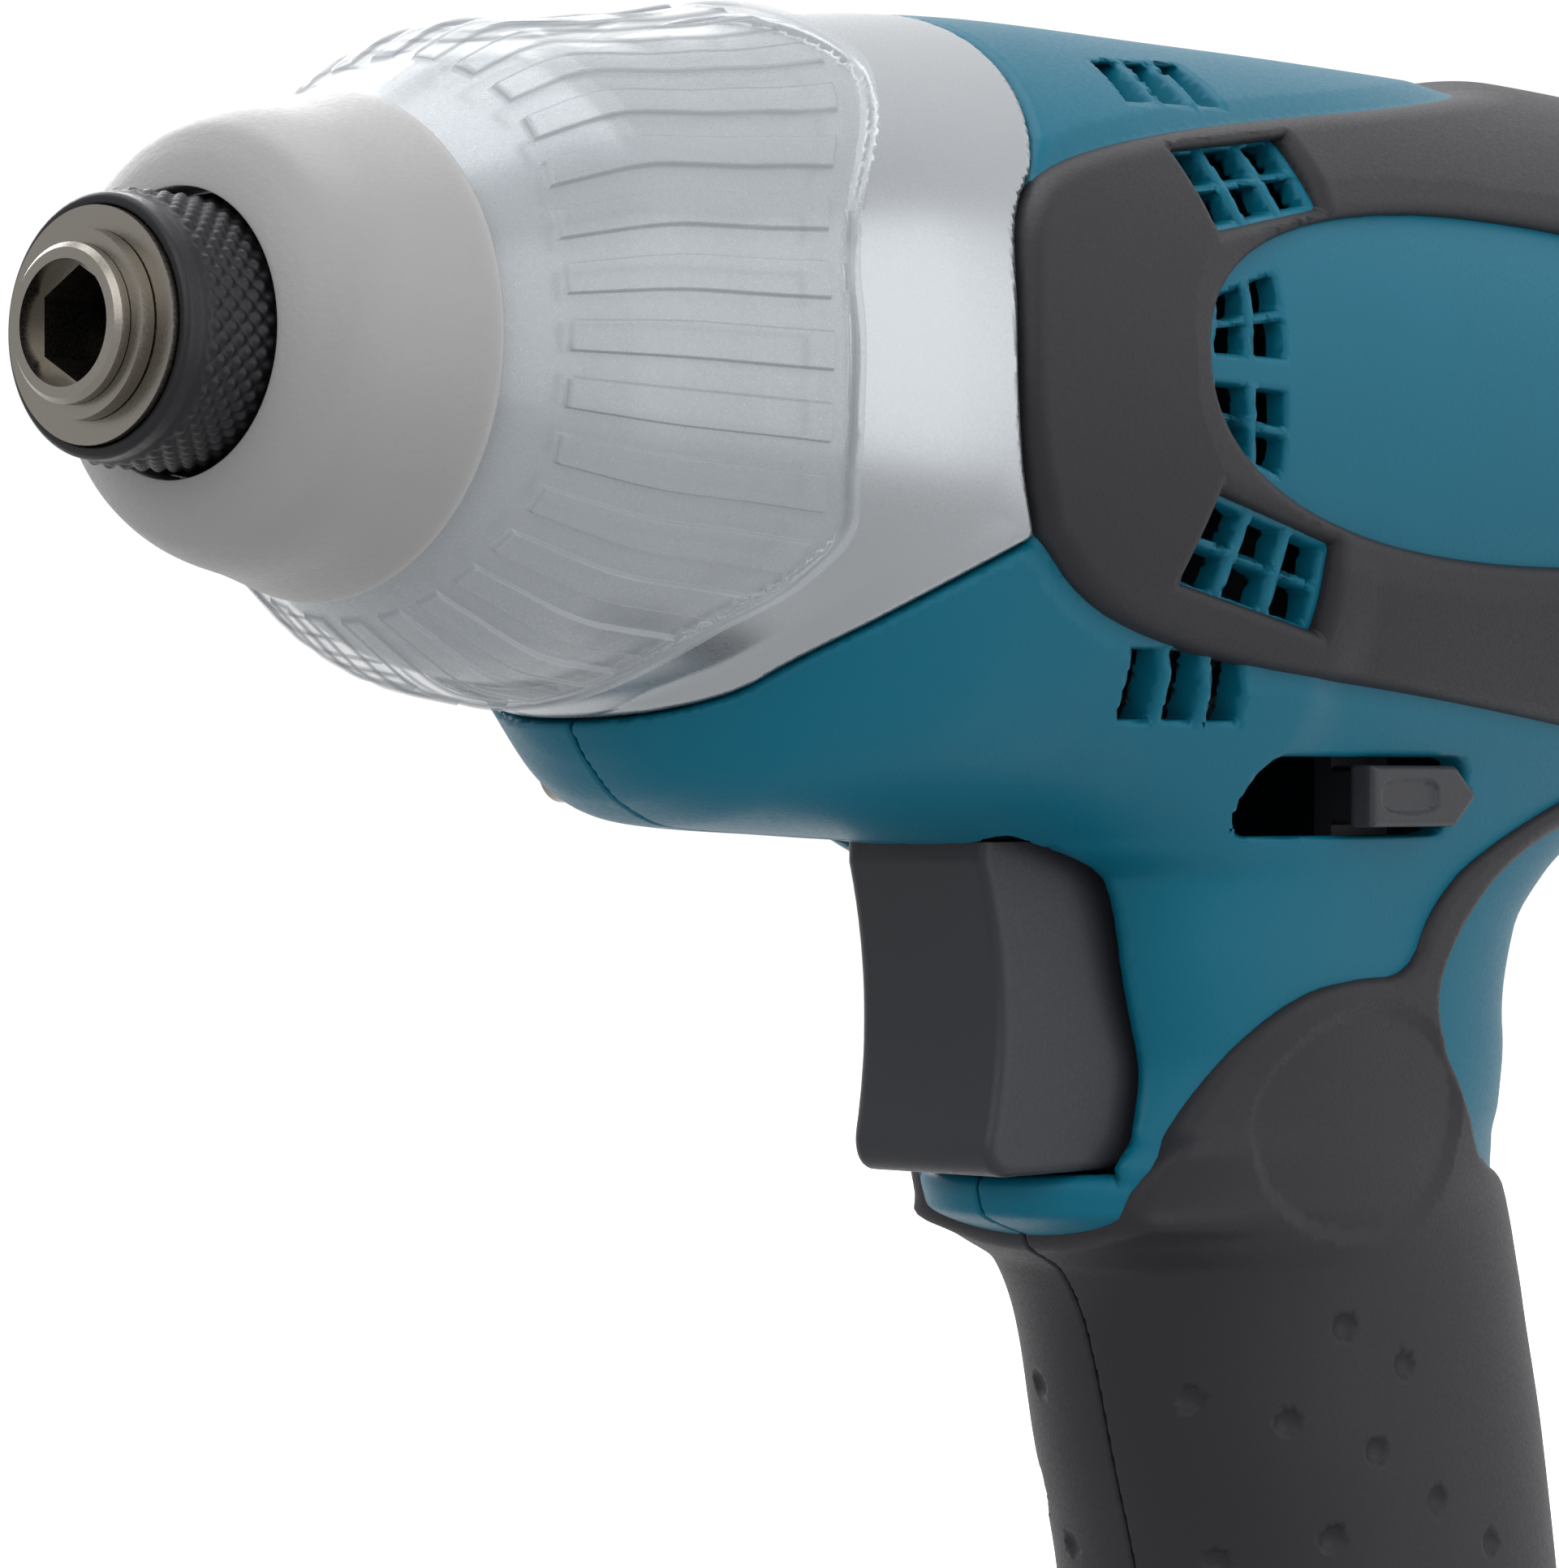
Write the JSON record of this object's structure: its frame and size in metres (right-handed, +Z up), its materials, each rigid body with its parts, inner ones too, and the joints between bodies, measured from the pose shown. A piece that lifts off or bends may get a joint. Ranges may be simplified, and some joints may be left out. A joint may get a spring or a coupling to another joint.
{
  "type": "impact driver",
  "caption": "Mains-powered pistol-grip impact driver with a quick-release hexagonal bit socket, trigger, reversing lever and planetary hammer drive.",
  "frame": {"origin": "centre of the bit socket's mouth, on the drive axis", "axes": "+X along the drive axis towards the motor's rear, +Z up from the handle, -Y the tool's left side"},
  "size_m": [0.1836, 0.0628, 0.1725],
  "materials": {
    "teal_plastic": "moulded, satin",
    "dark_rubber": "soft, fine matt grain",
    "grey_rubber": "soft, matt, slightly translucent",
    "clear_plastic": "clear, polished",
    "silver_alloy": "die-cast, silver paint",
    "black_steel": "black oxide",
    "bare_steel": "ground, oiled",
    "ball_steel": "polished",
    "bronze": "sintered, oiled",
    "copper": "enamelled wire",
    "black_plastic": "moulded, satin",
    "pale_plastic": "moulded, plain",
    "carbon": "pressed graphite",
    "stack_steel": "laminated"
  },
  "bodies": {
    "housing": {"housing_left": "teal_plastic", "housing_right": "teal_plastic", "overmould_left": "dark_rubber", "overmould_right": "dark_rubber", "housing_screws": "bare_steel", "bumper": "grey_rubber", "case_cover": "clear_plastic", "hammer_case": "silver_alloy", "case_bush": "bronze", "anvil_washer": "pale_plastic", "ring_gear": "bare_steel", "bearing_box": "black_plastic", "spindle_bearing": "bare_steel", "front_bearing": "bare_steel", "rear_bearing": "bare_steel", "bearing_rubber": "dark_rubber", "field_core": "stack_steel", "field_coils": "copper", "air_baffle": "black_plastic", "brush_holders": "bronze", "carbon_brushes": "carbon", "switch_body": "black_plastic", "noise_capacitor": "pale_plastic", "terminal_block": "pale_plastic", "cord_gland": "dark_rubber"},
    "rotor": {"rotor_shaft": "bare_steel", "fan": "black_plastic", "armature_core": "stack_steel", "armature_windings": "copper", "commutator": "copper"},
    "spindle": {"spindle": "bare_steel", "planet_pins": "bare_steel", "hammer_spring": "bare_steel"},
    "planet_a": {"planet_gear_a": "bare_steel"},
    "planet_b": {"planet_gear_b": "bare_steel"},
    "planet_c": {"planet_gear_c": "bare_steel"},
    "thrust": {"thrust_washer": "bare_steel", "thrust_balls": "ball_steel"},
    "hammer": {"hammer": "bare_steel", "cam_balls": "ball_steel"},
    "anvil": {"anvil": "bare_steel", "retaining_ring": "bare_steel", "sleeve_washer": "bare_steel", "sleeve_spring": "bare_steel"},
    "sleeve": {"sleeve": "black_steel"},
    "detent_left": {"detent_ball_left": "ball_steel"},
    "detent_right": {"detent_ball_right": "ball_steel"},
    "trigger": {"trigger": "black_plastic"},
    "lever": {"reversing_lever": "black_plastic"}
  },
  "joints": [
    {"name": "rotor_spin", "type": "hinge", "parent": "housing", "child": "rotor", "pos_m": [0, 0, 0], "axis": [1, 0, 0], "continuous": true},
    {"name": "spindle_spin", "type": "hinge", "parent": "housing", "child": "spindle", "pos_m": [0, 0, 0], "axis": [1, 0, 0], "continuous": true},
    {"name": "anvil_spin", "type": "hinge", "parent": "housing", "child": "anvil", "pos_m": [0, 0, 0], "axis": [1, 0, 0], "continuous": true},
    {"name": "planet_a_spin", "type": "hinge", "parent": "spindle", "child": "planet_a", "pos_m": [0, 0, -0.009], "axis": [1, 0, 0], "continuous": true},
    {"name": "planet_b_spin", "type": "hinge", "parent": "spindle", "child": "planet_b", "pos_m": [0, 0.00779, 0.0045], "axis": [1, 0, 0], "continuous": true},
    {"name": "planet_c_spin", "type": "hinge", "parent": "spindle", "child": "planet_c", "pos_m": [0, -0.00779, 0.0045], "axis": [1, 0, 0], "continuous": true},
    {"name": "hammer_retract", "type": "slide", "parent": "spindle", "child": "thrust", "axis": [1, 0, 0], "range_m": [0, 0.007], "stiffness_N_per_m": 8000, "springref_m": -0.004, "deforming": ["hammer_spring"]},
    {"name": "hammer_cam_turn", "type": "hinge", "parent": "thrust", "child": "hammer", "pos_m": [0, 0, 0], "axis": [1, 0, 0], "range_deg": [0, 35.1]},
    {"name": "sleeve_slide", "type": "slide", "parent": "anvil", "child": "sleeve", "axis": [-1, 0, 0], "range_m": [0, 0.004], "stiffness_N_per_m": 800, "springref_m": -0.003, "deforming": ["sleeve_spring"]},
    {"name": "detent_left_slide", "type": "slide", "parent": "anvil", "child": "detent_left", "axis": [0, -1, 0], "range_m": [0, 0.00101]},
    {"name": "detent_right_slide", "type": "slide", "parent": "anvil", "child": "detent_right", "axis": [0, 1, 0], "range_m": [0, 0.00101]},
    {"name": "trigger_pull", "type": "slide", "parent": "housing", "child": "trigger", "axis": [1, 0, 0], "range_m": [0, 0.007], "stiffness_N_per_m": 900, "springref_m": -0.004},
    {"name": "reversing_lever_slide", "type": "slide", "parent": "housing", "child": "lever", "axis": [-1, 0, 0], "range_m": [0, 0.0105]}
  ],
  "couplings": [
    {"joint": "spindle_spin", "follows": "rotor_spin", "ratio": 0.16667},
    {"joint": "anvil_spin", "follows": "rotor_spin", "ratio": 0.16667},
    {"joint": "planet_a_spin", "follows": "rotor_spin", "ratio": -0.41667},
    {"joint": "planet_b_spin", "follows": "rotor_spin", "ratio": -0.41667},
    {"joint": "planet_c_spin", "follows": "rotor_spin", "ratio": -0.41667},
    {"joint": "hammer_cam_turn", "follows": "hammer_retract", "rad_per_m": 87.266},
    {"joint": "detent_left_slide", "follows": "sleeve_slide", "ratio": 0.25},
    {"joint": "detent_right_slide", "follows": "sleeve_slide", "ratio": 0.25}
  ]
}
